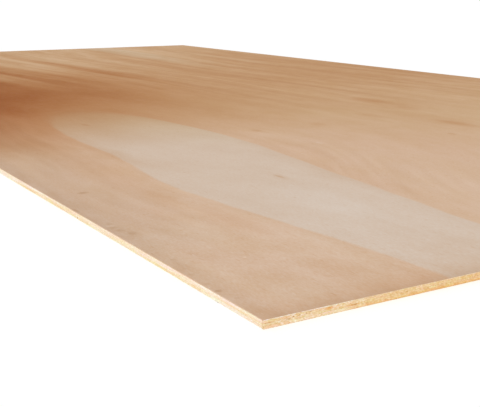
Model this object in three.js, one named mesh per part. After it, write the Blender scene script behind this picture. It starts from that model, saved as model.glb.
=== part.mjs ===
// Plywood sheet: five veneers glued with their grain crossed in turn and sawn to a
// standard size. It lies flat with its good face up.
//
// Units are millimetres and +Z is up. +X is the sheet's length and the way the face
// grain runs, and +Y is its width. The origin is the middle of the underside.

import * as THREE from 'three';

// Sawn size
const SHEET_LENGTH = 2440;
const SHEET_WIDTH = 1220;

// Veneer thicknesses, from the good face down
const FACE_THICKNESS = 0.5;
const UPPER_CROSSBAND_THICKNESS = 1.8;
const CENTRE_THICKNESS = 1.4;
const LOWER_CROSSBAND_THICKNESS = 1.8;
const BACK_THICKNESS = 0.5;

// The outline runs anticlockwise, so this is the order of its edges.
const FRONT = 0; // long edge at -Y
const RIGHT = 1; // short edge at +X
const REAR = 2; // long edge at +Y
const LEFT = 3; // short edge at -X

// Each inner veneer is a row of strips laid edge to edge, and the strips part along
// their grain. Where two of them don't quite meet, the sawn edge opens into a gap
// that closes further in. A gap has the edge it shows on, its setback from the +X
// end of a long edge or the -Y end of a short one, how wide its mouth is, how far in
// it closes, and how far the closed end has drifted along the edge.
const RIGHT_CORE_GAP = { edge: RIGHT, setback: 412, mouth: 1.4, reach: 210, drift: 3 };
const LEFT_CORE_GAP = { edge: LEFT, setback: 774, mouth: 1.6, reach: 290, drift: -4 };
const FRONT_BAND_GAP = { edge: FRONT, setback: 305, mouth: 1.3, reach: 240, drift: -5 };
const REAR_LOWER_BAND_GAP = { edge: REAR, setback: 1466, mouth: 2.2, reach: 330, drift: 6 };
const REAR_UPPER_BAND_GAP = { edge: REAR, setback: 610, mouth: 1.5, reach: 260, drift: 4 };

// A splinter that the saw pulled out of the back veneer along its grain. It is cut
// out of the outline as a gap is, but long and shallow.
const FRONT_TEAR = { edge: FRONT, setback: 57, mouth: 7, reach: 1.2, drift: 2 };

// Colours of each veneer's own wood
const FACE_COLOUR = 0xcfb298;
const CROSSBAND_COLOUR = 0xe6c08c;
const CENTRE_COLOUR = 0xeacba0;
const BACK_COLOUR = 0xd8bf9f;
const DRY_WOOD_ROUGHNESS = 0.75;

// The lay-up, from the back veneer up to the good face
const PLIES = [
  {
    name: 'back_veneer',
    thickness: BACK_THICKNESS,
    colour: BACK_COLOUR,
    cuts: [FRONT_TEAR],
  },
  {
    name: 'lower_crossband',
    thickness: LOWER_CROSSBAND_THICKNESS,
    colour: CROSSBAND_COLOUR,
    cuts: [FRONT_BAND_GAP, REAR_LOWER_BAND_GAP],
  },
  {
    name: 'centre_ply',
    thickness: CENTRE_THICKNESS,
    colour: CENTRE_COLOUR,
    cuts: [RIGHT_CORE_GAP, LEFT_CORE_GAP],
  },
  {
    name: 'upper_crossband',
    thickness: UPPER_CROSSBAND_THICKNESS,
    colour: CROSSBAND_COLOUR,
    cuts: [REAR_UPPER_BAND_GAP],
  },
  {
    name: 'face_veneer',
    thickness: FACE_THICKNESS,
    colour: FACE_COLOUR,
    cuts: [],
  },
];

// The sheet's corners, anticlockwise from the start of the front edge
function sheetCorners() {
  const x = SHEET_LENGTH / 2;
  const y = SHEET_WIDTH / 2;
  return [
    new THREE.Vector2(-x, -y),
    new THREE.Vector2(x, -y),
    new THREE.Vector2(x, y),
    new THREE.Vector2(-x, y),
  ];
}

// How far along its edge, from the edge's start, the middle of a cut's mouth lies.
// The front and left edges end at the corner that setbacks are measured from.
function mouthPlace(cut, edgeLength) {
  const measuredFromEnd = cut.edge === FRONT || cut.edge === LEFT;
  return measuredFromEnd ? edgeLength - cut.setback : cut.setback;
}

// The three points that take the outline into a cut and out again
function cutPoints(cut, start, end) {
  const along = end.clone().sub(start).normalize();
  const inward = new THREE.Vector2(-along.y, along.x);
  const place = mouthPlace(cut, start.distanceTo(end));
  const mouthStart = start.clone().addScaledVector(along, place - cut.mouth / 2);
  const closedEnd = start.clone().addScaledVector(along, place + cut.drift);
  const mouthEnd = start.clone().addScaledVector(along, place + cut.mouth / 2);
  return [mouthStart, closedEnd.addScaledVector(inward, cut.reach), mouthEnd];
}

function plyOutline(cuts) {
  const corners = sheetCorners();
  const points = corners.flatMap((start, edge) => {
    const end = corners[(edge + 1) % corners.length];
    const edgeLength = start.distanceTo(end);
    const edgeCuts = cuts
      .filter((cut) => cut.edge === edge)
      .sort((a, b) => mouthPlace(a, edgeLength) - mouthPlace(b, edgeLength));
    return [start, ...edgeCuts.flatMap((cut) => cutPoints(cut, start, end))];
  });
  return new THREE.Shape(points);
}

function plyMesh(ply, thickness) {
  const geometry = new THREE.ExtrudeGeometry(plyOutline(ply.cuts), {
    depth: thickness,
    bevelEnabled: false,
  });
  const material = new THREE.MeshStandardMaterial({
    color: ply.colour,
    roughness: DRY_WOOD_ROUGHNESS,
    metalness: 0,
  });
  const mesh = new THREE.Mesh(geometry, material);
  mesh.name = ply.name;
  return mesh;
}

// Glued plies share their faces. Vertices are 32-bit numbers, so each thickness is
// rounded as they are, and a ply's top is exactly where the next one starts.
function layUp(plies) {
  const sheet = new THREE.Group();
  let level = 0;
  for (const ply of plies) {
    const thickness = Math.fround(ply.thickness);
    const mesh = plyMesh(ply, thickness);
    mesh.position.z = level;
    level += thickness;
    sheet.add(mesh);
  }
  return sheet;
}

export default layUp(PLIES);
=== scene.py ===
# A full sheet of five-ply plywood, lying flat with its good face up.
# Metres, +Z up, +X along the length and the face grain, +Y along the width.
import math

import bmesh
import bpy
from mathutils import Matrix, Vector, noise
from mathutils.geometry import delaunay_2d_cdt


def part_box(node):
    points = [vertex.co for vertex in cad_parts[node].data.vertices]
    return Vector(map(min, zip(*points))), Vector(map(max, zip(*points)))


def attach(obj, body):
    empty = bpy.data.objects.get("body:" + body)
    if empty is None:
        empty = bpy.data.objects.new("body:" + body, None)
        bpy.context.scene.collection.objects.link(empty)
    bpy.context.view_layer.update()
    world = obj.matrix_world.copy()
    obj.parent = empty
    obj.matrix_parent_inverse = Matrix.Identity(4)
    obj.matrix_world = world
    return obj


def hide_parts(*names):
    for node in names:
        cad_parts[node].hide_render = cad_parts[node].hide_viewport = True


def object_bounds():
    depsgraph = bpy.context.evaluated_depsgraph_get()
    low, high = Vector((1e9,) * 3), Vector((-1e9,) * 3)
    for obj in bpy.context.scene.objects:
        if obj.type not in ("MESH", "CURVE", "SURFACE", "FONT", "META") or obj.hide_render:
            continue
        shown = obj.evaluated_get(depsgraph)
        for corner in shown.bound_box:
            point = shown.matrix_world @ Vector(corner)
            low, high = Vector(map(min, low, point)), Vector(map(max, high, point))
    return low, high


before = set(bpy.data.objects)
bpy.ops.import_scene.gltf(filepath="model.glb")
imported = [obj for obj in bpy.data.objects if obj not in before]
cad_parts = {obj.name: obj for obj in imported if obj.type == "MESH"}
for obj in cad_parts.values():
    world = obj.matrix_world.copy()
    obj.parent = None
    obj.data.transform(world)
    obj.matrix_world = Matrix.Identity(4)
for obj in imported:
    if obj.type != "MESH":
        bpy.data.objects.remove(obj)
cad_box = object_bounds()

MM = 0.001
NEAR = 0.01 * MM  # two places this close are the same
SHEET_LOW, SHEET_HIGH = cad_box
SHEET_LENGTH = SHEET_HIGH.x - SHEET_LOW.x
SHEET_WIDTH = SHEET_HIGH.y - SHEET_LOW.y

# The camera, from the photo's 480 x 407 frame. It stands off the sheet's near corner,
# the one at +X and -Y.
FRAME_WIDTH_PX = 480
FOCAL_PX = 879.2
SENSOR_WIDTH = 36.0  # in millimetres, as Blender counts it
CAMERA_AZIMUTH = math.radians(58.8)
CAMERA_PITCH_DOWN = math.radians(13.62)
CAMERA_BACK = 0.493  # from the near corner, measured level
CAMERA_LEFT = 0.0139
CAMERA_ABOVE_FACE = 0.1912
CAMERA_CLIP_START = 0.01

# Light. A level white surface comes out white.
WHITE = (1.0, 1.0, 1.0, 1.0)
SKY_STRENGTH = 0.60
BACKDROP_STRENGTH = 1.0  # of the sky that the camera sees
SUN_STRENGTH = 2.0
SUN_ANGLE = math.radians(25)
SUN_FROM = (0.35, -0.70, 0.62)
FLOOR_GREY = 0.9
FLOOR_GLOW = 0.115  # seen by the camera only
FLOOR_HALF_SIZE = 60.0
FLOOR_LEVEL = -0.03 * MM

# Meshes of the veneers
EDGE_STEP = 1.0 * MM  # between points along a sawn edge
GAP_STEP = 6 * MM  # between points along the walls of a gap
ROW_HEIGHT = 0.26 * MM
RING_STEPS = (4 * MM, 16 * MM)  # rings of points inside a face, as far in as they are apart
GRID_STEP = 60 * MM  # between points in the middle of a face
CORNER_RADIUS = 0.6 * MM
SHARP_ANGLE = math.radians(35)

# Relief of the sawn edges
ARRIS = 0.12 * MM  # the height of the worn corner between a face and an edge
WORN_BACK = 0.8 * ARRIS
PORE_DEPTH = 0.16 * MM
FIBRE_DEPTH = 0.10 * MM
TOOTH_HALF_DEPTH = 0.05 * MM
WAVE_HALF_DEPTH = 0.04 * MM
PIT_DEPTH = 0.6 * MM  # at the darkest marks
SHORT_CHIP = (4 * MM, 0.9 * MM)  # size and depth, where the saw cuts across the face grain
LONG_CHIP = (12 * MM, 0.5 * MM)  # and where it runs along it
CHIP_START = 0.42  # of the noise that makes the chips

# Colours, as 8-bit screen values. Each wood varies between its two.
HEARTWOOD = ((213, 183, 158), (211, 180, 152))
SAPWOOD = ((212, 192, 174), (210, 189, 170))
BACK_WOOD = ((222, 200, 172), (212, 184, 150))
GLUED_WOOD = ((214, 182, 140), (200, 164, 120))
GLUE_BROWN = (171, 121, 82)
# A brown stain, which on the marks also paints the shade in their hollows
PIT_BROWN = (146, 86, 42)

# How fast a wood's red, green and blue fade as it gets one step deeper in colour
FACE_FADE = (0.62, 1.34, 2.15)
STRAW_FADE = (0.015, -0.015, 0.05)
EDGE_FADE = (0.20, 0.85, 2.20)
EDGE_BLUSH = (-0.10, 0.40, -0.17)  # and as it gets one step pinker

# The good face. Here and in its functions, places are in metres along from the near
# short edge and across from the front long edge. The tongue is of pale sapwood and
# starts at the near short edge. A second streak of sapwood comes in from the far end.
TONGUE_MIDDLE = 0.212
TONGUE_DRIFT = 0.022  # of its middle, towards the rear
TONGUE_HALF_WIDTH = 0.0615
TONGUE_WIDENING = 0.034
TONGUE_SHOULDER = 0.615  # where its taper starts
TONGUE_TAPER = 0.35
FAR_STREAK_LINE = 0.56  # the growth line that the far streak follows
# The red-brown is partly the wood's own and partly painted shade, the light falling off away
# from the near corner.
BROWN_START = 0.58  # where the red-brown starts
BROWN_RAMP = 0.58  # and how far it takes to reach its full depth

# Soft patches of deeper or paler colour on the good face, its small marks, and its
# scratches, which are greyer. Each has its distances from the near short edge and from
# the front long edge, half its length and width, all in mm, and its depth of colour.
FACE_PATCHES = (
    (8, 135, 32, 65, 0.06),
    (8, 152, 20, 12, -0.055),
    (25, 48, 30, 20, -0.05),
    (30, 12, 45, 14, 0.04),
    (60, 100, 30, 20, 0.06),
    (100, 18, 40, 16, -0.03),
    (190, 26, 32, 14, -0.05),
    (125, 133, 40, 10, -0.05),
    (216, 104, 56, 20, 0.085),
    (300, 305, 130, 30, 0.05),
    (265, 62, 42, 14, 0.05),
    (310, 88, 52, 14, 0.06),
    (450, 340, 200, 42, 0.045),
    (498, 88, 201, 36, 0.09),
    (550, 140, 90, 18, 0.09),
    (555, 680, 120, 55, 0.07),
    (705, 565, 75, 60, -0.05),
    (742, 742, 70, 50, 0.07),
    (1020, 148, 110, 38, 0.17),
    (195, 56, 45, 24, -0.05),
    (20, 200, 75, 70, 0.04),
    (230, 215, 90, 34, -0.045),
    (740, 270, 120, 45, -0.045),
    (475, 160, 60, 22, 0.035),
    (28, 82, 12, 8, 0.035),
    (54, 41, 16, 10, -0.03),
    (90, 14, 20, 8, 0.03),
)
FACE_MARKS = (
    (343, 240, 10.6, 3.2, 0.14),
    (343, 240, 25, 8.5, 0.05),
    (458, 601, 9.5, 5.3, 0.13),
    (620, 387, 12.7, 8.5, 0.10),
    (795, 201, 14.8, 5.3, 0.09),
    (493, 401, 7.4, 3.2, -0.07),
    (530, 678, 47, 14.8, 0.12),
    (657, 625, 36, 14.8, 0.06),
    (625, 498, 21, 12.7, 0.07),
    (689, 731, 42, 14.8, 0.06),
    (816, 747, 53, 28, 0.13),
)
FACE_SCRATCHES = (
    (377, 33.5, 4.5, 6.5, 0.16),
    (313, 1.9, 8.5, 2.4, 0.15),
    (255, 9.5, 3.5, 3.0, 0.08),
    (248, 7.6, 2.5, 4.2, -0.08),
    (242, 7.0, 3.0, 4.5, 0.07),
    (231, 9.0, 4.0, 4.5, 0.08),
    (218, 14.0, 5.5, 4.5, 0.09),
    (137, 9.5, 3.0, 2.5, 0.06),
    (125, 8.5, 16.0, 4.0, 0.05),
    (113, 5.9, 2.2, 2.2, 0.06),
    (99, 4.3, 2.5, 2.5, 0.07),
    (76, 4.5, 2.0, 2.0, 0.07),
    (60, 3.4, 2.6, 3.4, 0.18),
    (42, 6.9, 2.0, 2.5, 0.07),
    (115, 57.4, 1.6, 1.8, -0.12),
)

# The back's pin knots by x and y, and half the length and width of a knot, of the stain
# round it and of the grain that parts there
PIN_KNOTS = ((-0.62, 0.18), (0.41, -0.33), (0.93, 0.27))
KNOT_SIZE = (6 * MM, 4 * MM)
KNOT_STAIN_SIZE = (30 * MM, 10 * MM)
KNOT_GRAIN_SIZE = (80 * MM, 28 * MM)

# Marks on the two near sawn edges. Each has its distance from the near corner, its
# height above the floor, half its length and height, all in mm, how orange the wood is
# there, and how dark. The dark is a brown stain that also paints the shade in the mark's
# hollow.
SHORT_EDGE_MARKS = (
    (4.0, 3.75, 4.5, 0.25, 0.25, 0.25),
    (18.1, 3.10, 2.4, 0.40, 0.20, 0.40),
    (21.9, 4.30, 0.8, 0.45, 0.20, 0.65),
    (26.8, 4.50, 0.9, 0.35, 0.15, 0.40),
    (31.5, 4.35, 0.8, 0.40, 0.15, 0.45),
    (34.9, 4.95, 1.7, 0.32, 0.20, 0.50),
    (48.7, 4.30, 3.3, 1.05, 0.38, 0.00),
    (67.5, 3.10, 8.5, 0.45, 0.28, 0.08),
    (69.9, 2.90, 1.8, 0.50, 0.25, 0.35),
    (113.3, 3.60, 1.0, 0.40, 0.10, 0.35),
    (144.1, 3.40, 1.0, 0.40, 0.10, 0.30),
    (151.9, 2.90, 1.0, 0.40, 0.10, 0.30),
    (178.3, 3.60, 1.0, 0.40, 0.10, 0.30),
)
LONG_EDGE_MARKS = (
    (20.0, 3.10, 36.0, 0.42, 0.20, 0.05),
    (20.0, 4.90, 60.0, 1.00, -0.07, 0.00),
    # Painted shade: the next mark darkens a strip up the near corner, where the rounded corner
    # turns away from the light.
    (0.4, 3.00, 1.9, 14.00, 0.12, 0.18),
    (20.0, 1.00, 62.0, 1.50, -0.03, 0.00),
    (120.0, 1.40, 60.0, 1.10, 0.08, 0.00),
    (88.0, 1.70, 4.0, 0.70, 0.12, 0.00),
    (360.0, 3.20, 60.0, 2.60, 0.09, 0.00),
    (437.0, 1.50, 51.0, 1.20, 0.14, 0.00),
    (159.0, 3.70, 2.1, 0.25, 0.10, 0.25),
    (241.7, 3.70, 3.2, 0.25, 0.10, 0.20),
)

# The dark glue beside a glue line
GLUE_REACH = 0.16 * MM
LOWEST_GLUE_TOP = 1 * MM  # glue below this height hardly shows
LOWEST_GLUE_STRENGTH = 0.25


def srgb(red, green, blue):
    """A colour written as 8-bit screen values, as the linear colour that shaders use."""
    def linear(value):
        value /= 255
        return value / 12.92 if value <= 0.04045 else ((value + 0.055) / 1.055) ** 2.4

    return (linear(red), linear(green), linear(blue), 1.0)


# ---------------------------------------------------------------- shader graphs


class Wire:
    """A node's output that takes part in arithmetic by adding Math nodes."""

    def __init__(self, graph, socket):
        self.graph = graph
        self.socket = socket

    def __add__(self, other):
        return self.graph.math("ADD", self, other)

    def __sub__(self, other):
        return self.graph.math("SUBTRACT", self, other)

    def __rsub__(self, other):
        return self.graph.math("SUBTRACT", other, self)

    def __mul__(self, other):
        return self.graph.math("MULTIPLY", self, other)

    def __truediv__(self, other):
        return self.graph.math("DIVIDE", self, other)

    __radd__ = __add__
    __rmul__ = __mul__


class Graph:
    """A new material, with short calls that add its nodes."""

    NOISE_SPREAD = 0.2  # most noise is this close to zero

    def __init__(self, name):
        self.material = bpy.data.materials.new(name)
        self.material.use_nodes = True
        self.tree = self.material.node_tree
        self.tree.nodes.clear()

    def put(self, socket, value):
        """Links a wire to the socket, or gives it a number, a vector or a colour. As a
        vector, a colour is its first three numbers."""
        if isinstance(value, Wire):
            self.tree.links.new(value.socket, socket)
        elif socket.type == "VECTOR":
            socket.default_value = value[:3]
        else:
            socket.default_value = value

    def add(self, kind, inputs=None, **settings):
        """Adds a node. Its inputs go by their names or numbers."""
        node = self.tree.nodes.new("ShaderNode" + kind)
        for name, value in settings.items():
            setattr(node, name, value)
        for name, value in (inputs or {}).items():
            self.put(node.inputs[name], value)
        return node

    def out(self, node, name=0):
        return Wire(self, node.outputs[name])

    def math(self, operation, *values):
        return self.out(self.add("Math", dict(enumerate(values)), operation=operation))

    def max(self, first, second):
        return self.math("MAXIMUM", first, second)

    def min(self, first, second):
        return self.math("MINIMUM", first, second)

    def vector(self, x, y, z):
        return self.out(self.add("CombineXYZ", {0: x, 1: y, 2: z}))

    def length(self, x, y):
        node = self.add("VectorMath", {0: self.vector(x, y, 0.0)}, operation="LENGTH")
        return self.out(node, "Value")

    def place(self):
        """The point's x, y and z in the sheet's frame."""
        coordinates = self.add("TexCoord")
        split = self.add("SeparateXYZ", {0: self.out(coordinates, "Object")})
        return self.out(split, 0), self.out(split, 1), self.out(split, 2)

    def noise(self, x, y, z, detail=2.0):
        """Smooth noise about zero, one cell to each unit. Where x is a distance divided
        by a length, the cells are about that long."""
        inputs = {"Vector": self.vector(x, y, z), "Scale": 1.0, "Detail": detail}
        return self.out(self.add("TexNoise", inputs)) - 0.5

    def specks(self, x, y, z, share):
        """1 at the middles of a share of cells of size 1, and 0 away from them."""
        cells = self.add("TexVoronoi", {"Vector": self.vector(x, y, z), "Scale": 1.0})
        chosen = self.add("SeparateXYZ", {0: self.out(cells, "Color")})
        picked = self.rise(self.out(chosen, 0), 1 - share, 1 - 0.5 * share)
        return picked * self.fall(self.out(cells, "Distance"), 0.10, 0.30)

    def rise(self, value, low, high):
        """0 below low, 1 above high and an S-curve between them."""
        inputs = {"Value": value, "From Min": low, "From Max": high}
        return self.out(self.add("MapRange", inputs, interpolation_type="SMOOTHSTEP"))

    def fall(self, value, low, high):
        """1 below low, 0 above high and an S-curve between them."""
        return 1.0 - self.rise(value, low, high)

    def patch(self, x, y, middle_x, middle_y, half_x, half_y):
        """1 in the middle of an oval, falling to 0 a little outside it."""
        away = self.length((x - middle_x) / half_x, (y - middle_y) / half_y)
        return self.fall(away, 0.2, 1.3)

    def mix(self, amount, first, second):
        """A mix of two colours, which are the node's inputs 6 and 7 and its output 2."""
        inputs = {0: amount, 6: first, 7: second}
        return self.out(self.add("Mix", inputs, data_type="RGBA", clamp_factor=True), 2)

    def two_tone(self, noise_value, colours):
        """The first colour where some noise is low, the second where it is high."""
        first, second = (srgb(*colour) for colour in colours)
        amount = self.rise(noise_value, -self.NOISE_SPREAD, self.NOISE_SPREAD)
        return self.mix(amount, first, second)

    def deepen(self, colour, depth, fade):
        """The colour made darker and stronger by a depth, or paler if it is negative."""
        left = [self.math("EXPONENT", depth * -rate) for rate in fade]
        inputs = {0: colour, 1: self.vector(*left)}
        return self.out(self.add("VectorMath", inputs, operation="MULTIPLY"))

    def shade(self, colour, factor):
        """The colour made lighter or darker by a factor about 1."""
        return self.out(self.add("VectorMath", {0: colour, "Scale": factor}, operation="SCALE"))

    def wood(self, colour, height, depth, roughness, specular):
        """Ends the material as bare wood. height is the relief in units of depth."""
        bump = self.add("Bump", {"Strength": 1.0, "Distance": depth, "Height": height})
        shader = self.add(
            "BsdfPrincipled",
            {
                "Base Color": colour,
                "Roughness": roughness,
                "Specular IOR Level": specular,
                "Normal": self.out(bump),
            },
        )
        self.add("OutputMaterial", {"Surface": self.out(shader)})
        return self.material


# ---------------------------------------------------------------- the good face


def outside_tongue(g, along, across, middle):
    """How far a point lies outside the tongue, negative inside it. Past the tongue's
    tip, the lines of equal distance soon straighten along the sheet."""
    half_width = TONGUE_HALF_WIDTH + TONGUE_WIDENING * g.rise(along, 0.0, 0.42)
    # From the shoulder to the tip the spread goes from 0 to 1, and then slowly to 1.8.
    past_shoulder = g.max(along - TONGUE_SHOULDER, 0.0) / TONGUE_TAPER
    past_tip = g.max(past_shoulder - 1.0, 0.0)
    spread = g.min(past_shoulder, 1.0)
    spread = spread + 0.8 * (1.0 - g.math("EXPONENT", past_tip * -1.25))
    return g.length(across - middle, half_width * spread) - half_width


def growth_lines(g, along, across, middle, off_tongue):
    """Three values: one that is equal all along a growth line, one that is equal all
    along a fibre, and how far the point is on the tongue's rear side.

    Growth lines follow the tongue's outline and wander. On its rear side they leave the
    outline and climb away from the front edge before they level out. Fibres keep closer
    to the sheet's length."""
    # The front side turns into the rear side over this much on either side of the middle.
    seam = 0.085 + 0.065 * g.rise(along, 0.90, 1.30)
    rear_side = g.rise((across - middle) / seam, -1.0, 1.0)
    climb = 0.10 * g.rise(along, 0.11, 0.49) * g.fall(across, 0.45, 0.90)
    climb = climb * (1.0 - 0.8 * g.rise(along, 1.1, 2.2))
    climb = climb * rear_side * g.rise(off_tongue, -0.004, 0.0)
    # The lines wander more where the photo doesn't show them.
    unseen = g.rise(across + 0.35 * along, 0.70, 1.20)
    wander = (0.022 + 0.098 * unseen) * g.noise(along / 0.9, across / 0.30, 1.7)
    ripple = 0.006 * g.noise(along / 0.12, across / 0.05, 4.1)
    line = off_tongue - climb + wander + ripple
    grain = across - climb + wander + ripple
    return line, grain, rear_side


def sapwood(g, along, across, off_tongue, line):
    """How much of the wood is sapwood, from 0 to 1. The tongue fades and its outline
    softens towards its tip."""
    ragged = 0.006 * g.noise(along / 0.05, across / 0.012, 2.2, detail=3)
    soft = g.rise(along, 0.78, 0.95)
    outside = g.rise(off_tongue + ragged, -0.004 - 0.016 * soft, 0.001 + 0.008 * soft)
    in_tongue = (1.0 - outside) * (1.0 - 0.45 * g.rise(along, 0.66, 0.97))
    # The far streak narrows and fades as it comes in.
    far_end = g.fall(SHEET_LENGTH - along, 0.2, 1.1)
    off_streak = g.math("ABSOLUTE", line - FAR_STREAK_LINE) / (0.02 + 0.04 * far_end)
    in_streak = 0.6 * far_end * g.fall(off_streak, 0.7, 1.1)
    return g.max(in_tongue, in_streak)


def ring_contrast(g, along, across, rear_side, sap):
    """How plainly growth lines show as streaks. They do so on both sides of the tongue:
    at the rear, where they climb, and at the front."""
    climbing = rear_side * g.fall(along, 0.50, 0.85) * g.fall(across, 0.34, 0.50)
    front_side = g.fall(along, 0.90, 1.10) * g.fall(across, 0.12, 0.18)
    return g.rise(along, 0.12, 0.24) * (1.0 - sap) * (0.75 * (climbing + front_side))


def broad_depth(g, along, across, grain, bands):
    """The broad change in depth of colour, from pale at the near end to red-brown, which
    ends in flames along the grain. The red-brown is partly the wood's own and partly
    painted shade: the light falling off away from the near corner."""
    flames = g.rise(along, 1.10, 1.60) * g.noise(grain / 0.075, along / 1.6, 5.2, detail=3)
    ramp = g.min(g.max((along - BROWN_START) / BROWN_RAMP, 0.0), 1.0)
    front = 0.20 + 0.78 * g.fall(across + 0.9 * flames, 0.14, 0.64)
    rim = 0.13 * g.fall(across, 0.06, 0.17) * g.rise(along, 0.51, 0.72)
    rim = rim * (1.0 - 0.7 * g.rise(along, 0.85, 1.17))
    ends = 1.0 - 0.7 * g.rise(along + 2.2 * flames, 1.35, 2.25)
    # Partly painted shade: the red-brown also stands for the light falling off towards the far
    # end.
    brown = (ramp * front + rim) * ends
    rear = 0.14 * g.rise(along, 0.1, 0.74) * (0.3 + 0.7 * g.rise(across, 0.32, 0.53))
    return brown * (1.0 + 0.4 * bands) + rear


def marks_depth(g, along, across, marks, ragged):
    """The depth of colour that some marks add. Noise pushes their outlines in and out, by
    up to a fifth of the length ragged along the sheet and half of that across it."""
    wavy_along = along + ragged * g.noise(along / (2 * ragged), across / ragged, 3.9)
    wavy_across = across + 0.5 * ragged * g.noise(along / (2 * ragged), across / ragged, 8.4)
    total = 0.0
    for middle_along, middle_across, half_length, half_width, strength in marks:
        oval = (middle_along * MM, middle_across * MM, half_length * MM, half_width * MM)
        total = total + strength * g.patch(wavy_along, wavy_across, *oval)
    return total


def with_grime(g, along, across, depth):
    """The depth of colour with patchy grime along the front edge, and deeper along the
    near short edge.
    """
    patchy = g.rise(g.noise(along / 0.020, across / 0.020, 15.3, detail=3), -0.15, 0.25)
    depth = depth + 0.04 * patchy * g.fall(across, 0.002, 0.018)
    return depth + 0.075 * g.fall(along, 0.0, 0.030)


def edge_light(g, along, across):
    """How light the face is: 1, and less on a rim all round it, on a fringe beside the
    front edge, and on a band along that edge, which starts 0.1 to 0.2 m from the near
    end and widens further on."""
    to_short_edge = g.min(along, SHEET_LENGTH - along)
    to_long_edge = g.min(across, SHEET_WIDTH - across)
    rim = g.fall(g.min(to_short_edge, to_long_edge), 0.0, 0.013)
    fringe = g.rise(across, 0.003, 0.009) * g.fall(across, 0.012, 0.024)
    front_band = g.rise(along, 0.10, 0.22) * g.fall(across - 0.07 * along, 0.0, 0.09)
    return 1.0 - 0.05 * rim - 0.03 * fringe - 0.07 * front_band


def face_figure():
    """The good face: rotary-cut hardwood, pinkish tan, with a long tongue of sapwood."""
    g = Graph("face_figure")
    x, y, _ = g.place()
    along = SHEET_HIGH.x - x
    across = y - SHEET_LOW.y
    reach = along + across  # about how far off the near corner is
    middle = TONGUE_MIDDLE + TONGUE_DRIFT * g.rise(along, 0.32, 0.58)
    off_tongue = outside_tongue(g, along, across, middle)
    line, grain, rear_side = growth_lines(g, along, across, middle, off_tongue)
    sap = sapwood(g, along, across, off_tongue, line)

    bands = g.noise(line / 0.060, along / 1.3, across / 0.6, detail=3)
    streaks = g.noise(line / 0.011, along / 0.30, 7.9, detail=4)
    mottle = g.noise(along / 0.028, grain / 0.018, 9.2, detail=4)
    cloud = g.noise(along / 0.075, grain / 0.040, 12.6, detail=3)
    fibres = g.noise(grain / 0.0012, along / 0.0034, 5.5, detail=3)
    pores = g.specks(along / 0.016, grain / 0.0022, 0.5, 0.35)
    flecks = g.specks(along / 0.010, grain / 0.0026, 6.5, 0.10)

    # The figure is plain to see at the near corner, quieter in the rest of what the photo
    # shows, and bolder beyond it.
    far = g.rise(reach, 1.3, 1.9)
    quiet = 0.36 + 0.31 * g.rise(across, 0.09, 0.16)
    clear = 1.0 - quiet * g.rise(reach, 0.20, 0.53) * (1.0 - far)
    ringed = ring_contrast(g, along, across, rear_side, sap)
    rings = ringed * g.noise(line / 0.013, along / 0.13, 2.9, detail=1.5)
    figure = (0.16 + 0.16 * far) * bands + (0.05 + 0.19 * far) * streaks
    figure = figure + (0.105 * mottle + 0.07 * cloud) * (1.0 - 0.5 * ringed)
    figure = figure * clear * (1.0 - 0.3 * sap)

    at_corner = g.fall(reach, 0.15, 0.45) * (1.0 - 0.5 * sap)
    scratches = marks_depth(g, along, across, FACE_SCRATCHES, ragged=2 * MM)
    depth = broad_depth(g, along, across, grain, bands) * (1.0 - 0.18 * sap)
    depth = depth + figure + 0.13 * rings
    depth = depth + (0.20 + 0.10 * at_corner) * fibres
    depth = depth + marks_depth(g, along, across, FACE_PATCHES, ragged=30 * MM)
    depth = depth + marks_depth(g, along, across, FACE_MARKS, ragged=6 * MM)
    depth = depth + 0.7 * scratches
    depth = depth + 0.10 * pores - 0.08 * flecks
    depth = with_grime(g, along, across, depth)

    straw = g.rise(reach, 0.85 - 0.10 * sap, 1.35 - 0.20 * sap)
    light = edge_light(g, along, across)
    light = light + 0.05 * fibres - 0.30 * figure - 0.10 * rings - 0.5 * scratches
    colour = g.mix(sap, g.two_tone(cloud, HEARTWOOD), g.two_tone(cloud, SAPWOOD))
    colour = g.deepen(colour, depth, FACE_FADE)
    colour = g.deepen(colour, straw, STRAW_FADE)
    colour = g.shade(colour, light)
    height = fibres + streaks - 0.5 * pores
    roughness = 0.62 + 0.25 * g.noise(along / 0.02, grain / 0.004, 2.7)
    return g.wood(colour, height, depth=0.03 * MM, roughness=roughness, specular=0.02)


# ---------------------------------------------------------------- the other faces


def back_figure():
    """The back: plain rotary-cut hardwood of a lower grade, with a few pin knots."""
    g = Graph("back_figure")
    x, y, _ = g.place()
    wander = 0.09 * g.noise(x / 1.0, y / 0.35, 11.3)
    line = y + wander + 0.010 * g.noise(x / 0.15, y / 0.05, 14.9)
    for knot_x, knot_y in PIN_KNOTS:
        # The grain parts round a knot.
        parted = g.patch(x, y, knot_x, knot_y, *KNOT_GRAIN_SIZE)
        line = line - 0.75 * (y - knot_y) * parted
    bands = g.noise(line / 0.05, x / 1.2, 3.1, detail=3)
    streaks = g.noise(line / 0.010, x / 0.30, 6.2, detail=3)
    fibres = g.noise(line / 0.0018, x / 0.050, 8.8, detail=3)
    mottle = g.noise(x / 0.05, line / 0.02, 1.2, detail=3)
    pores = g.specks(x / 0.009, line / 0.0022, 3.5, 0.35)
    depth = 0.45 * bands + 0.35 * streaks + 0.25 * mottle + 0.20 * fibres + 0.18 * pores
    for knot_x, knot_y in PIN_KNOTS:
        depth = depth + 0.30 * g.patch(x, y, knot_x, knot_y, *KNOT_STAIN_SIZE)
        depth = depth + 1.10 * g.patch(x, y, knot_x, knot_y, *KNOT_SIZE)
    colour = g.deepen(g.two_tone(bands, BACK_WOOD), depth, FACE_FADE)
    height = fibres + streaks - 0.5 * pores
    return g.wood(colour, height, depth=0.04 * MM, roughness=0.65, specular=0.1)


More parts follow.
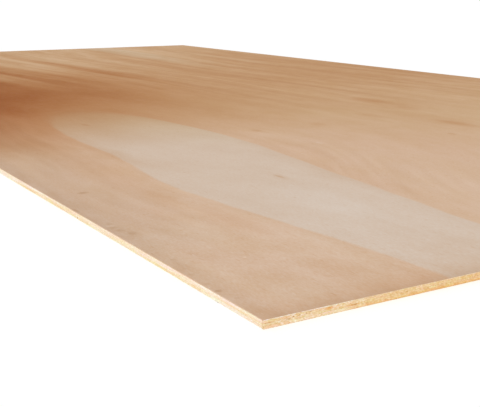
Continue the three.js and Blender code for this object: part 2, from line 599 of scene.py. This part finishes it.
def glued_face():
    """A veneer's hidden face, stained by glue. It shows only if the plies are parted."""
    g = Graph("glued_face")
    x, y, _ = g.place()
    smear = g.noise(x / 0.20, y / 0.12, 4.4)
    colour = g.two_tone(smear, GLUED_WOOD)
    return g.wood(colour, smear, depth=0.02 * MM, roughness=0.6, specular=0.2)


# ---------------------------------------------------------------- sawn edges


def is_end_grain(ply, faces_x):
    """Whether a sawn edge is cut across the veneer's grain. Short edges face x."""
    return ply["grain_along_x"] == faces_x


def is_outer(z):
    """Whether a height is that of the sheet's own top or underside."""
    return not SHEET_LOW.z + NEAR < z < SHEET_HIGH.z - NEAR


def short_edge_tone(g, distance, z):
    """How orange a short edge is, more so away from the front and in spots low down."""
    orange = 0.12 * g.rise(distance, 0.03, 0.10) + 0.04 * g.rise(distance, 0.10, 0.17)
    spotty = 1.0 + 3.0 * g.noise(distance / 0.011, 0.7, 2.4)
    below = g.rise(distance, 0.05, 0.12) * g.fall(z, 0.8 * MM, 2.2 * MM)
    return orange + 0.16 * below * spotty


def sawn_edge(ply, faces_x):
    """A veneer's short sawn edges, which face x, or its long ones. Only the near one of
    the two has marks."""
    g = Graph(ply["node"] + ("_short_edge" if faces_x else "_long_edge"))
    x, y, z = g.place()
    low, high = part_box(ply["node"])
    seed = ply["seed"]
    teeth = 0.35
    if faces_x:
        distance = y - SHEET_LOW.y
        near_side = g.math("GREATER_THAN", x, 0.0)
        clean, marks = ply["short_edge_colour"], SHORT_EDGE_MARKS
        contrast = 1.0
        blush_length = 8 * MM
        tone = short_edge_tone(g, distance, z)
        # The saw's teeth show most near the front corner.
        teeth = teeth + 0.22 * g.patch(distance, 0.0, 20 * MM, 0.0, 13 * MM, 1.0)
    else:
        distance = SHEET_HIGH.x - x
        near_side = g.math("LESS_THAN", y, 0.0)
        # Below the face veneer the long-edge colour is paler and creamier: painted highlight of
        # the strong light on the long edges.
        clean, marks = ply["long_edge_colour"], LONG_EDGE_MARKS
        contrast = 0.48
        blush_length = 20 * MM
        tone = 0.0

    patches = g.noise(distance / 0.045, seed, 0.2, detail=3)
    saw = g.noise((distance + z) / (1.5 * MM), (distance - z) / (7 * MM), seed)
    grit = g.noise(distance / (1.4 * MM), z / (0.85 * MM), seed + 6, detail=3)
    blush = g.noise(distance / blush_length, z / (1.3 * MM), seed + 9, detail=3)
    if is_end_grain(ply, faces_x):
        fibres = g.noise(distance / (0.7 * MM), z / (1.6 * MM), seed)
        pores = g.specks(distance / (1.1 * MM), z / (0.45 * MM), seed, 0.25)
        fibres = fibres + 0.25 * pores
    else:
        fibres = g.noise(distance / (4 * MM), z / (0.32 * MM), seed, detail=3)
    rough = teeth * saw + 0.5 * grit + 0.3 * fibres
    depth = tone + 0.45 * patches + 1.35 * contrast * rough

    stain_and_hollow_shade = 0.0
    ragged = 0.5 * MM * g.noise(distance / (1.2 * MM), z / (0.6 * MM), seed + 3)
    for mark_distance, mark_z, half_length, half_height, orange, dark in marks:
        reach = (1.3 * half_height + 0.2) * MM
        if low.z - reach < mark_z * MM < high.z + reach:
            oval = (mark_distance * MM, mark_z * MM, half_length * MM, half_height * MM)
            inside = near_side * g.patch(distance + ragged, z + ragged * 0.5, *oval)
            depth = depth + orange * inside
            stain_and_hollow_shade = stain_and_hollow_shade + dark * inside

    colour = g.deepen(clean, depth, EDGE_FADE)
    colour = g.deepen(colour, blush, EDGE_BLUSH)
    colour = g.shade(colour, 1.0 - 0.5 * contrast * rough)
    # Partly painted shade: the dark marks mix in brown, a stain that also stands for the shade
    # in their hollows.
    colour = g.mix(stain_and_hollow_shade, colour, srgb(*PIT_BROWN))
    glue = contrast * glue_beside(g, distance, z, seed, low.z, high.z)
    colour = g.mix(glue, colour, srgb(*GLUE_BROWN))
    height = grit + saw - fibres
    return g.wood(colour, height, depth=0.06 * MM, roughness=0.75, specular=0.1)


def glue_beside(g, distance, z, seed, low, high):
    """How much of the dark glue shows next to the glued sides of a veneer that lies from
    low to high."""
    reach = GLUE_REACH * (1.0 + 3.0 * g.noise(distance / 0.010, seed, 3.3, detail=3))
    amount = 0.0
    for level, away in ((low, z - low), (high, high - z)):
        if not is_outer(level):
            hardly = level <= SHEET_LOW.z + LOWEST_GLUE_TOP
            strength = LOWEST_GLUE_STRENGTH if hardly else 1.0
            amount = g.max(amount, strength * g.fall(away, 0.0, reach))
    return amount * (0.25 + 1.2 * g.noise(distance / 0.025, seed, 8.8))


# ---------------------------------------------------------------- meshes


def node_outline(node):
    """A ply's outline from above, anticlockwise from the corner at -X and -Y, from its
    CAD solid."""
    solid = bmesh.new()
    solid.from_mesh(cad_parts[node].data)
    bmesh.ops.remove_doubles(solid, verts=solid.verts, dist=0.1 * NEAR)
    top = {face for face in solid.faces if face.normal.z > 0.9}
    following = {}
    for face in top:
        for loop in face.loops:
            if not all(other in top for other in loop.edge.link_faces):
                following[loop.vert] = loop.link_loop_next.vert
    start = min(following, key=lambda vert: (vert.co.x, vert.co.y))
    outline = []
    corner = start
    while not outline or corner is not start:
        outline.append(Vector((corner.co.x, corner.co.y)))
        corner = following[corner]
    solid.free()
    return outline


def outward_at(point):
    """The outward direction of the sheet's edge that the point lies on. It is zero
    inside the sheet and slants at a corner."""
    x = (point.x > SHEET_HIGH.x - NEAR) - (point.x < SHEET_LOW.x + NEAR)
    y = (point.y > SHEET_HIGH.y - NEAR) - (point.y < SHEET_LOW.y + NEAR)
    return Vector((x, y))


def is_corner(outward):
    return bool(outward.x and outward.y)


def fine_outline(node):
    """(point, outward) pairs, close together on the sawn edges and further apart in the
    gaps. At the sheet's corners there is one point for the rounding, and its neighbours
    are where the rounding starts and stops."""
    corners = node_outline(node)
    points = []
    for start, end in zip(corners, corners[1:] + corners[:1]):
        start_side, end_side = outward_at(start), outward_at(end)
        is_sawn = any(a and a == b for a, b in zip(start_side, end_side))
        begin = CORNER_RADIUS if is_corner(start_side) else 0.0
        stop = CORNER_RADIUS if is_corner(end_side) else 0.0
        if begin:
            points.append((start, start_side))
        usable = (end - start).length - begin - stop
        count = max(1, round(usable / (EDGE_STEP if is_sawn else GAP_STEP)))
        ahead = (end - start).normalized()
        for k in range(count + 1 if stop else count):
            point = start + ahead * (begin + usable * k / count)
            points.append((point, outward_at(point)))
    return points


def levels_of(ply):
    """The heights of a ply's rows of points, with one for each worn arris."""
    low, high = (corner.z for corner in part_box(ply["node"]))
    rows = max(1, round((high - low) / ROW_HEIGHT))
    levels = [low + (high - low) * row / rows for row in range(rows + 1)]
    if ply["top"]:
        levels.insert(-1, high - ARRIS)
    if ply["bottom"]:
        levels.insert(1, low + ARRIS)
    return levels


def noise_at(x, y, z):
    """Smooth noise about zero, one cell to each unit."""
    return noise.noise(Vector((x, y, z)))


def pit_depth(distance, z, marks):
    """How deep the dark marks of an edge are at a point."""
    deepest = 0.0
    for mark_distance, mark_z, half_length, half_height, _, dark in marks:
        away_along = (distance / MM - mark_distance) / half_length
        if abs(away_along) < 1.0:
            away = math.hypot(away_along, (z / MM - mark_z) / half_height)
            deepest = max(deepest, dark * (1 - away * away))
    return deepest * PIT_DEPTH


def edge_inset(point, outward, z, ply):
    """How far the sawn surface lies behind the true edge."""
    if not outward.length:
        return 0.0
    worn = WORN_BACK if is_outer(z) else 0.0
    if is_corner(outward):
        return CORNER_RADIUS * (math.sqrt(2) - 1) + worn
    distance = point.x if outward.y else point.y
    seed = ply["seed"]
    if is_end_grain(ply, bool(outward.x)):
        pores = noise_at(distance / 0.0016, z / (0.6 * MM), seed)
        relief = max(0.0, pores) * PORE_DEPTH
    else:
        fibres = noise_at(distance / 0.012, z / (0.3 * MM), seed)
        relief = abs(fibres) * FIBRE_DEPTH
    tooth = noise_at((distance + z) / 0.0030, (distance - z) / 0.012, seed)
    wave = noise_at(distance / 0.060, 0.3, 0.0)
    relief += TOOTH_HALF_DEPTH * (1 + tooth) + WAVE_HALF_DEPTH * (1 + wave)
    if worn:
        # The saw pulls small chips out of the outer veneers.
        size, deepest = SHORT_CHIP if outward.x else LONG_CHIP
        chip = noise_at(point.x / size, point.y / size, z + 7.7)
        relief += max(0.0, chip - CHIP_START) * deepest
    if outward.x > 0:
        relief = max(relief, pit_depth(point.y - SHEET_LOW.y, z, SHORT_EDGE_MARKS))
    elif outward.y < 0:
        relief = max(relief, pit_depth(SHEET_HIGH.x - point.x, z, LONG_EDGE_MARKS))
    return relief + worn


def inner_points():
    """Points inside the sheet's outline that keep the triangles of a face well shaped."""
    points = []
    for step in (*RING_STEPS, GRID_STEP):
        length = SHEET_LENGTH - 2 * step
        width = SHEET_WIDTH - 2 * step
        columns, rows = round(length / step), round(width / step)
        for i in range(columns + 1):
            for j in range(rows + 1):
                if step == GRID_STEP or i in (0, columns) or j in (0, rows):
                    x = SHEET_LOW.x + step + length * i / columns
                    y = SHEET_LOW.y + step + width * j / rows
                    points.append(Vector((x, y)))
    return points


def map_rooms(ply):
    """How a veneer's map for baked pictures is shared out, most of it to what shows. It
    gives how many strips the unrolled sawn edge makes, and the lowest and highest v of
    those strips, of the top and of the bottom."""
    if ply["top"]:
        return 12, (0.0, 0.12), (0.16, 1.0), (0.12, 0.16)
    if ply["bottom"]:
        return 12, (0.0, 0.12), (0.12, 0.16), (0.16, 1.0)
    return 24, (0.0, 0.90), (0.90, 0.95), (0.95, 1.0)


class PlyMesh:
    """One veneer as a closed mesh with sawn, slightly rough edges."""

    TOP, BOTTOM, LONG_EDGE, SHORT_EDGE = range(4)  # material slots
    MAP_NAME = "OFBake"
    MAP_GAP = 0.003  # above and below a face on the map
    STRIP_GAP = 0.08  # above and below a strip, as a share of its room
    INSIDE_ONLY = 1  # asks delaunay_2d_cdt for the triangles inside the outline
    EPSILON = 1e-7  # and to count points this close as one

    def __init__(self, ply):
        self.ply = ply
        self.outline = fine_outline(ply["node"])
        self.levels = levels_of(ply)
        self.verts, self.faces, self.slots, self.uvs = [], [], [], []
        strips, edge_room, top_room, bottom_room = map_rooms(ply)
        self.add_rows()
        self.add_walls(strips, edge_room)
        self.add_cap(self.BOTTOM, 0, bottom_room)
        self.add_cap(self.TOP, len(self.levels) - 1, top_room)

    def add_rows(self):
        for z in self.levels:
            for point, outward in self.outline:
                inset = edge_inset(point, outward, z, self.ply)
                place = point - outward.normalized() * inset if outward.length else point
                self.verts.append((place.x, place.y, z))

    def add_walls(self, strips, room):
        """Joins the rows, and unrolls the walls into strips, one above the other."""
        count = len(self.outline)
        steps = []
        distance = 0.0
        for i in range(count):
            step = self.outline[(i + 1) % count][0] - self.outline[i][0]
            steps.append((distance, distance + step.length, abs(step.x) > abs(step.y)))
            distance += step.length
        strip = distance / strips
        rise = (room[1] - room[0]) / strips
        low, high = self.levels[0], self.levels[-1]
        shares = [(level - low) / (high - low) for level in self.levels]
        heights = [self.STRIP_GAP + (1 - 2 * self.STRIP_GAP) * share for share in shares]
        for i, (begin, end, is_long) in enumerate(steps):
            number = min(int((begin + end) / 2 / strip), strips - 1)
            left, right = begin / strip - number, end / strip - number
            bottom = room[0] + rise * number
            j = (i + 1) % count
            for row in range(len(self.levels) - 1):
                a, b = row * count, (row + 1) * count
                self.faces.append((a + i, a + j, b + j, b + i))
                self.slots.append(self.LONG_EDGE if is_long else self.SHORT_EDGE)
                lower, upper = (bottom + rise * heights[k] for k in (row, row + 1))
                self.uvs += [(left, lower), (right, lower), (right, upper), (left, upper)]

    def add_cap(self, slot, row, room):
        """Closes the top or the bottom with triangles."""
        count = len(self.outline)
        first = row * count
        z = self.levels[row]
        given = [Vector(vert[:2]) for vert in self.verts[first:first + count]] + inner_points()
        outline = list(range(count))
        made = delaunay_2d_cdt(given, [], [outline], self.INSIDE_ONLY, self.EPSILON)
        places, _, triangles, sources, _, _ = made
        low = room[0] + self.MAP_GAP
        high = room[1] - self.MAP_GAP
        added = {}
        for triangle in triangles:
            corners = []
            for corner in triangle:
                source = min(sources[corner])
                if source < count:
                    corners.append(first + source)
                    continue
                if corner not in added:
                    added[corner] = len(self.verts)
                    self.verts.append((places[corner].x, places[corner].y, z))
                corners.append(added[corner])
            if slot == self.BOTTOM:
                corners.reverse()
            self.faces.append(tuple(corners))
            self.slots.append(slot)
            for corner in corners:
                x, y, _ = self.verts[corner]
                u = (x - SHEET_LOW.x) / SHEET_LENGTH
                share = (y - SHEET_LOW.y) / SHEET_WIDTH
                self.uvs.append((u, low + (high - low) * share))

    def build(self):
        mesh = bpy.data.meshes.new(self.ply["piece"])
        mesh.from_pydata(self.verts, [], self.faces)
        mesh.polygons.foreach_set("material_index", self.slots)
        mesh.polygons.foreach_set("use_smooth", [True] * len(self.faces))
        layer = mesh.uv_layers.new(name=self.MAP_NAME)
        layer.uv.foreach_set("vector", [value for uv in self.uvs for value in uv])
        mesh.set_sharp_from_angle(angle=SHARP_ANGLE)
        mesh.validate()
        return mesh


def add_piece(ply, materials):
    mesh = PlyMesh(ply).build()
    for material in materials:
        mesh.materials.append(material)
    piece = bpy.data.objects.new(ply["piece"], mesh)
    bpy.context.scene.collection.objects.link(piece)
    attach(piece, "root")
    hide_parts(ply["node"])


# ---------------------------------------------------------------- the sheet

# The veneers from the bottom up. top and bottom are True where that face of the veneer
# is one of the sheet's own.
# Below the face veneer, each long-edge colour is paler and creamier than the short-edge one:
# painted highlight, the washed-out look of the strong light on the long edges.
PLIES = [
    {
        "node": "back_veneer",
        "piece": "back_veneer_sawn",
        "slot": "back_veneer",
        "grain_along_x": True,
        "seed": 1.5,
        "top": False,
        "bottom": True,
        "short_edge_colour": srgb(243, 217, 178),
        "long_edge_colour": srgb(234, 225, 204),
    },
    {
        "node": "lower_crossband",
        "piece": "lower_crossband_sawn",
        "slot": "crossband",
        "grain_along_x": False,
        "seed": 12.5,
        "top": False,
        "bottom": False,
        "short_edge_colour": srgb(243, 215, 174),
        "long_edge_colour": srgb(229, 213, 184),
    },
    {
        "node": "centre_ply",
        "piece": "centre_ply_sawn",
        "slot": "centre_ply",
        "grain_along_x": True,
        "seed": 23.5,
        "top": False,
        "bottom": False,
        "short_edge_colour": srgb(242, 214, 172),
        "long_edge_colour": srgb(234, 215, 189),
    },
    {
        "node": "upper_crossband",
        "piece": "upper_crossband_sawn",
        "slot": "crossband",
        "grain_along_x": False,
        "seed": 34.5,
        "top": False,
        "bottom": False,
        "short_edge_colour": srgb(242, 213, 171),
        "long_edge_colour": srgb(234, 215, 190),
    },
    {
        "node": "face_veneer",
        "piece": "face_veneer_sawn",
        "slot": "face_veneer",
        "grain_along_x": True,
        "seed": 45.5,
        "top": True,
        "bottom": False,
        "short_edge_colour": srgb(245, 226, 200),
        "long_edge_colour": srgb(206, 177, 150),
    },
]


def make_sheet():
    glued = glued_face()
    face, back = face_figure(), back_figure()
    for ply in PLIES:
        top = face if ply["top"] else glued
        bottom = back if ply["bottom"] else glued
        long_edge = sawn_edge(ply, faces_x=False)
        short_edge = sawn_edge(ply, faces_x=True)
        add_piece(ply, [top, bottom, long_edge, short_edge])


# ---------------------------------------------------------------- studio


def floor():
    """A pale floor that glows a little, for the camera alone, so that it looks white."""
    g = Graph("floor_white")
    grey = (FLOOR_GREY, FLOOR_GREY, FLOOR_GREY, 1.0)
    diffuse = g.out(g.add("BsdfDiffuse", {"Color": grey}))
    glow = g.out(g.add("Emission", {"Color": WHITE, "Strength": FLOOR_GLOW}))
    both = g.out(g.add("AddShader", {0: diffuse, 1: glow}))
    seen = g.out(g.add("LightPath"), "Is Camera Ray")
    choice = g.out(g.add("MixShader", {0: seen, 1: diffuse, 2: both}))
    g.add("OutputMaterial", {"Surface": choice})
    mesh = bpy.data.meshes.new("floor")
    signs = ((-1, -1), (1, -1), (1, 1), (-1, 1))
    corners = [(a * FLOOR_HALF_SIZE, b * FLOOR_HALF_SIZE, FLOOR_LEVEL) for a, b in signs]
    mesh.from_pydata(corners, [], [(0, 1, 2, 3)])
    mesh.materials.append(g.material)
    plane = bpy.data.objects.new("floor", mesh)
    bpy.context.scene.collection.objects.link(plane)


def lights():
    """A white sky all round, brighter where the camera sees it, and a soft sun."""
    world = bpy.data.worlds.new("studio")
    bpy.context.scene.world = world
    world.use_nodes = True
    tree = world.node_tree
    tree.nodes.clear()
    ray = tree.nodes.new("ShaderNodeLightPath")
    choice = tree.nodes.new("ShaderNodeMixShader")
    output = tree.nodes.new("ShaderNodeOutputWorld")
    for number, strength in ((1, SKY_STRENGTH), (2, BACKDROP_STRENGTH)):
        sky = tree.nodes.new("ShaderNodeBackground")
        sky.inputs["Color"].default_value = WHITE
        sky.inputs["Strength"].default_value = strength
        tree.links.new(sky.outputs[0], choice.inputs[number])
    tree.links.new(ray.outputs["Is Camera Ray"], choice.inputs[0])
    tree.links.new(choice.outputs[0], output.inputs["Surface"])
    sun = bpy.data.lights.new("key", "SUN")
    sun.energy = SUN_STRENGTH
    sun.angle = SUN_ANGLE
    lamp = bpy.data.objects.new("key", sun)
    lamp.rotation_mode = "QUATERNION"
    lamp.rotation_quaternion = Vector(SUN_FROM).to_track_quat("Z", "Y")
    bpy.context.scene.collection.objects.link(lamp)


def camera():
    right = Vector((math.cos(CAMERA_AZIMUTH), math.sin(CAMERA_AZIMUTH), 0))
    ahead = Vector((-math.sin(CAMERA_AZIMUTH), math.cos(CAMERA_AZIMUTH), 0))
    near_corner = Vector((SHEET_HIGH.x, SHEET_LOW.y, SHEET_HIGH.z))
    data = bpy.data.cameras.new("camera")
    data.sensor_width = SENSOR_WIDTH
    data.lens = SENSOR_WIDTH * FOCAL_PX / FRAME_WIDTH_PX
    data.clip_start = CAMERA_CLIP_START
    view = bpy.data.objects.new("camera", data)
    view.location = near_corner - ahead * CAMERA_BACK - right * CAMERA_LEFT
    view.location.z += CAMERA_ABOVE_FACE
    view.rotation_euler = (math.pi / 2 - CAMERA_PITCH_DOWN, 0, CAMERA_AZIMUTH)
    bpy.context.scene.collection.objects.link(view)
    bpy.context.scene.camera = view


make_sheet()
floor()
lights()
camera()
bpy.context.scene.view_settings.view_transform = "Standard"
